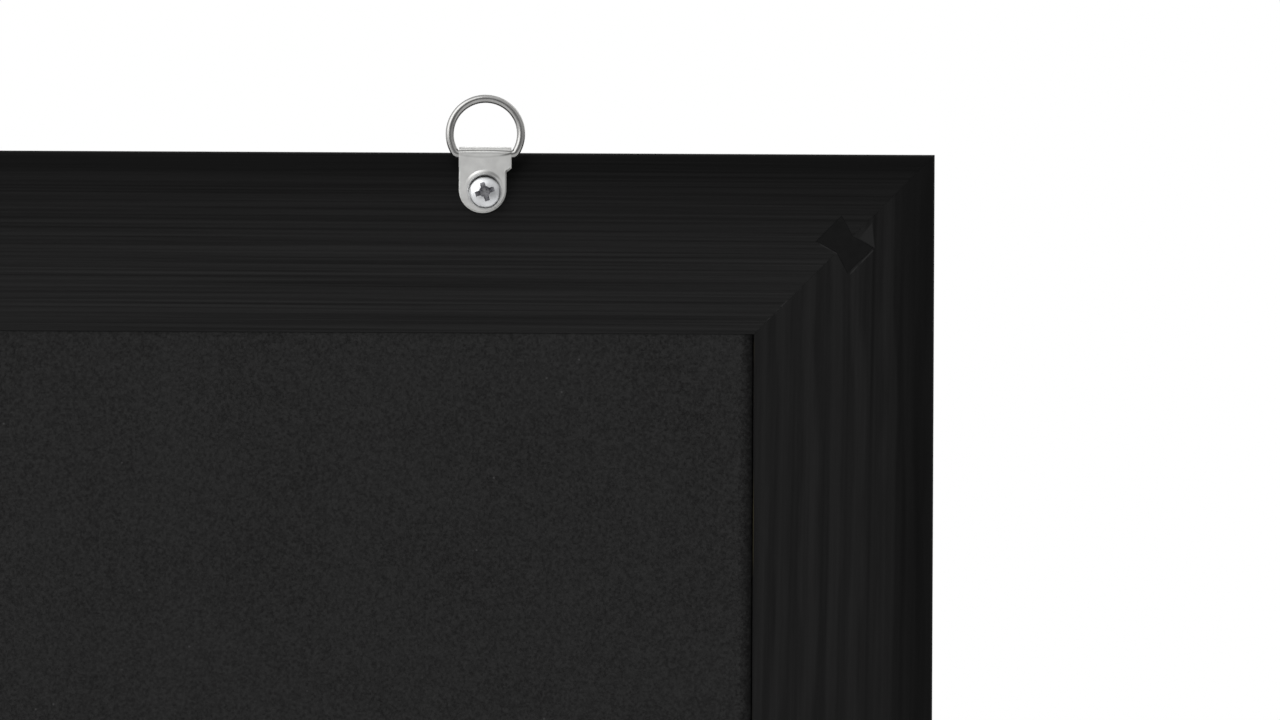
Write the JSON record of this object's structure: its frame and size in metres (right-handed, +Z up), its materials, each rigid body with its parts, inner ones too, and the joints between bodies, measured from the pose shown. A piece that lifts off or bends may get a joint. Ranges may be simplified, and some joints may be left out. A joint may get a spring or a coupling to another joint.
{
  "type": "wall chalkboard",
  "caption": "Wall chalkboard: a chalk-coated panel in a mitred, lacquered wood frame with keyed corners, hung by hinged D-rings on the back of the top rail.",
  "frame": {"origin": "on the plane of the frame's flat back, midway between the two rings, at the height where nails carry them", "axes": "+Z up, the writing side faces -Y and the back faces +Y, +X to the right as seen from the front"},
  "size_m": [0.4, 0.0188, 0.6127],
  "materials": {
    "frame_lacquer": "black satin lacquer over open-grained softwood",
    "key_lacquer": "black satin lacquer over a smooth key",
    "chalk_coating": "matt chalk coating on hardboard",
    "strap_zinc": "satin zinc plate",
    "screw_zinc": "bright zinc plate",
    "ring_nickel": "polished nickel plate"
  },
  "bodies": {
    "board": {"top_rail": "frame_lacquer", "bottom_rail": "frame_lacquer", "left_stile": "frame_lacquer", "right_stile": "frame_lacquer", "chalk_panel": "chalk_coating", "upper_left_key": "key_lacquer", "upper_right_key": "key_lacquer", "lower_left_key": "key_lacquer", "lower_right_key": "key_lacquer", "left_hanger_screw": "screw_zinc", "right_hanger_screw": "screw_zinc"},
    "left_strap": {"left_hanger_strap": "strap_zinc"},
    "right_strap": {"right_hanger_strap": "strap_zinc"},
    "left_ring": {"left_hanger_ring": "ring_nickel"},
    "right_ring": {"right_hanger_ring": "ring_nickel"}
  },
  "joints": [
    {"name": "left_strap_swivel", "type": "hinge", "parent": "board", "child": "left_strap", "pos_m": [-0.1016, -0.00034, -0.02005], "axis": [0, 0.9901, 0.1405], "range_deg": [-10, 10]},
    {"name": "left_ring_hinge", "type": "hinge", "parent": "left_strap", "child": "left_ring", "pos_m": [-0.1016, 0.00023, -0.01129], "axis": [-1, 0, 0], "range_deg": [-39, 165]},
    {"name": "right_strap_swivel", "type": "hinge", "parent": "board", "child": "right_strap", "pos_m": [0.1016, -0.00034, -0.02005], "axis": [0, 0.9901, 0.1405], "range_deg": [-10, 10]},
    {"name": "right_ring_hinge", "type": "hinge", "parent": "right_strap", "child": "right_ring", "pos_m": [0.1016, 0.00023, -0.01129], "axis": [-1, 0, 0], "range_deg": [-39, 165]}
  ]
}
